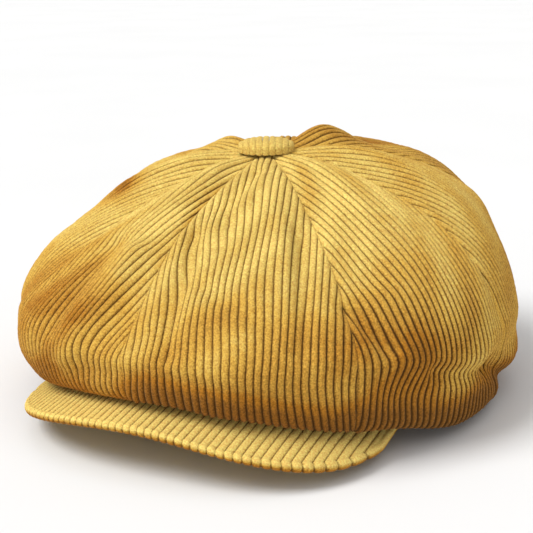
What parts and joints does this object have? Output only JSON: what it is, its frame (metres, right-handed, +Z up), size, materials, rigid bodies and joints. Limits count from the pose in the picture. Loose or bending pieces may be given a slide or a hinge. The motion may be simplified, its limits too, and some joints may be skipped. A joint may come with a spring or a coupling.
{
  "type": "newsboy cap",
  "caption": "Soft panelled newsboy cap in corduroy with a full overhanging crown, a covered top button and a short stiffened visor.",
  "frame": {"origin": "centre of the head opening, on the level of the rear hem, which is the surface that the cap stands on", "axes": "+Z up through the button, -Y forwards along the visor, +X to the wearer's left"},
  "size_m": [0.2644, 0.2861, 0.1341],
  "materials": {
    "corduroy": "mustard wide-wale cotton corduroy, napped",
    "lining_satin": "brown satin lining, smooth sheen",
    "sweatband_twill": "dark cotton twill",
    "stiffener_cloth": "natural buckram",
    "label_cloth": "blank woven label tape",
    "visor_board": "matte moulded sheet",
    "button_metal": "pressed plated steel"
  },
  "bodies": {
    "cap": {"crown_panel_1": "corduroy", "crown_panel_2": "corduroy", "crown_panel_3": "corduroy", "crown_panel_4": "corduroy", "crown_panel_5": "corduroy", "crown_panel_6": "corduroy", "crown_panel_7": "corduroy", "crown_panel_8": "corduroy", "lining_panel_1": "lining_satin", "lining_panel_2": "lining_satin", "lining_panel_3": "lining_satin", "lining_panel_4": "lining_satin", "lining_panel_5": "lining_satin", "lining_panel_6": "lining_satin", "lining_panel_7": "lining_satin", "lining_panel_8": "lining_satin", "headband": "corduroy", "headband_stiffener": "stiffener_cloth", "sweatband": "sweatband_twill", "care_label": "label_cloth", "button_cover": "corduroy", "button_shell": "button_metal", "button_plate": "button_metal", "button_shank": "button_metal", "button_washer": "button_metal"},
    "visor": {"visor_top_cover": "corduroy", "visor_under_cover": "corduroy", "visor_board": "visor_board"}
  },
  "joints": [
    {"name": "visor_flex", "type": "hinge", "parent": "cap", "child": "visor", "pos_m": [0, -0.07, 0.02], "axis": [1, 0, 0], "range_deg": [-1.5, 8], "stiffness_Nm_per_rad": 1.5}
  ]
}
